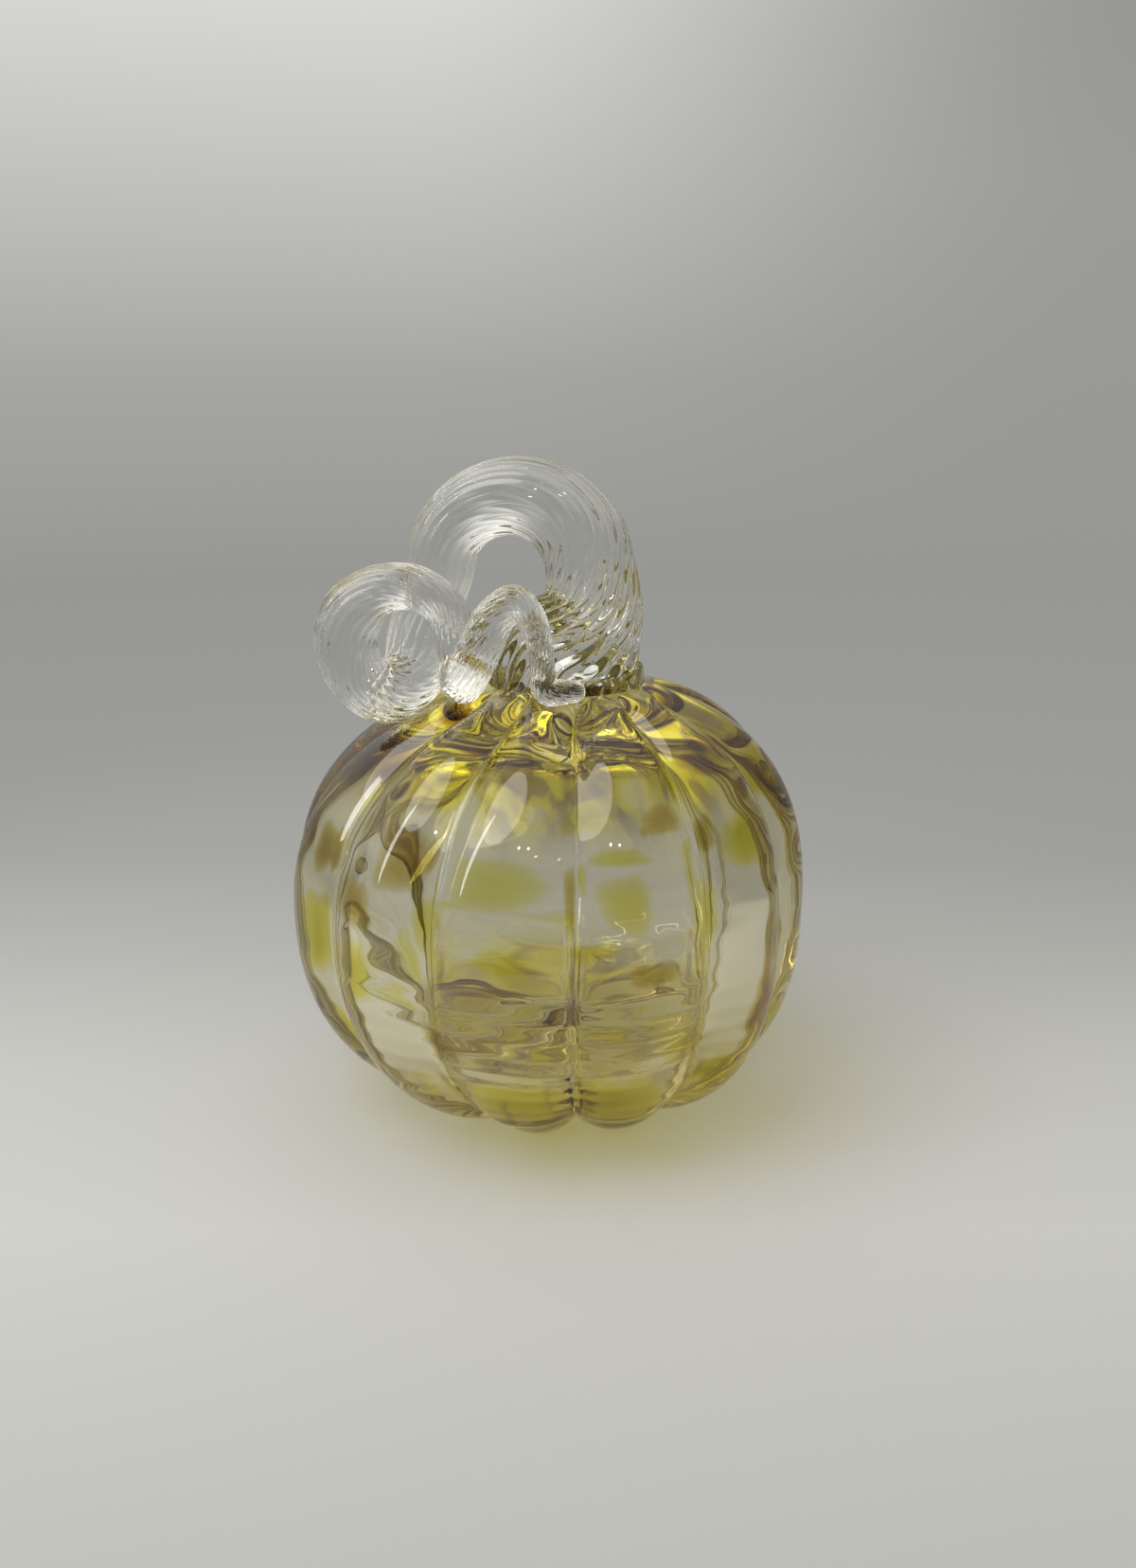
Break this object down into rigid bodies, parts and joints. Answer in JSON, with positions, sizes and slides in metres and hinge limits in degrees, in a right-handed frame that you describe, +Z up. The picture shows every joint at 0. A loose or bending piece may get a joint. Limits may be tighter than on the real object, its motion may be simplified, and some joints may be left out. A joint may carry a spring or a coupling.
{
  "type": "glass pumpkin",
  "caption": "Hollow blown glass pumpkin with rounded lobes, yellow and amber colour chips melted inside its clear wall, and a twisted clear glass stem drawn into loops.",
  "frame": {"origin": "on the floor that the pumpkin stands on, under the middle of the body's widest ring", "axes": "+Z up through the stem, front of the pumpkin (the stem's tendril) towards -Y, +X to the right seen from the front"},
  "size_m": [0.1487, 0.1486, 0.1861],
  "materials": {
    "clear_glass": "fire-polished, smooth",
    "yellow_glass": "transparent colour chip melted inside clear glass",
    "amber_glass": "transparent colour chip melted inside clear glass"
  },
  "bodies": {
    "root": {"amber_chip_01": "amber_glass", "amber_chip_02": "amber_glass", "amber_chip_03": "amber_glass", "amber_chip_04": "amber_glass", "amber_chip_05": "amber_glass", "amber_chip_06": "amber_glass", "amber_chip_07": "amber_glass", "amber_chip_08": "amber_glass", "amber_chip_09": "amber_glass", "amber_chip_10": "amber_glass", "amber_chip_11": "amber_glass", "amber_chip_12": "amber_glass", "amber_chip_13": "amber_glass", "amber_chip_14": "amber_glass", "amber_chip_15": "amber_glass", "amber_chip_16": "amber_glass", "amber_chip_17": "amber_glass", "amber_chip_18": "amber_glass", "amber_chip_19": "amber_glass", "amber_chip_20": "amber_glass", "inner_bubble": "clear_glass", "outer_casing": "clear_glass", "stem": "clear_glass", "yellow_chip_01": "yellow_glass", "yellow_chip_02": "yellow_glass", "yellow_chip_03": "yellow_glass", "yellow_chip_04": "yellow_glass", "yellow_chip_05": "yellow_glass", "yellow_chip_06": "yellow_glass", "yellow_chip_07": "yellow_glass", "yellow_chip_08": "yellow_glass", "yellow_chip_09": "yellow_glass", "yellow_chip_10": "yellow_glass", "yellow_chip_11": "yellow_glass", "yellow_chip_12": "yellow_glass", "yellow_chip_13": "yellow_glass", "yellow_chip_14": "yellow_glass", "yellow_chip_15": "yellow_glass", "yellow_chip_16": "yellow_glass", "yellow_chip_17": "yellow_glass", "yellow_chip_18": "yellow_glass", "yellow_chip_19": "yellow_glass", "yellow_chip_20": "yellow_glass", "yellow_chip_21": "yellow_glass", "yellow_chip_22": "yellow_glass", "yellow_chip_23": "yellow_glass", "yellow_chip_24": "yellow_glass", "yellow_chip_25": "yellow_glass", "yellow_chip_26": "yellow_glass", "yellow_chip_27": "yellow_glass", "yellow_chip_28": "yellow_glass", "yellow_chip_29": "yellow_glass", "yellow_chip_30": "yellow_glass", "yellow_chip_31": "yellow_glass", "yellow_chip_32": "yellow_glass", "yellow_chip_33": "yellow_glass", "yellow_chip_34": "yellow_glass", "yellow_chip_35": "yellow_glass", "yellow_chip_36": "yellow_glass", "yellow_chip_37": "yellow_glass"}
  },
  "joints": []
}
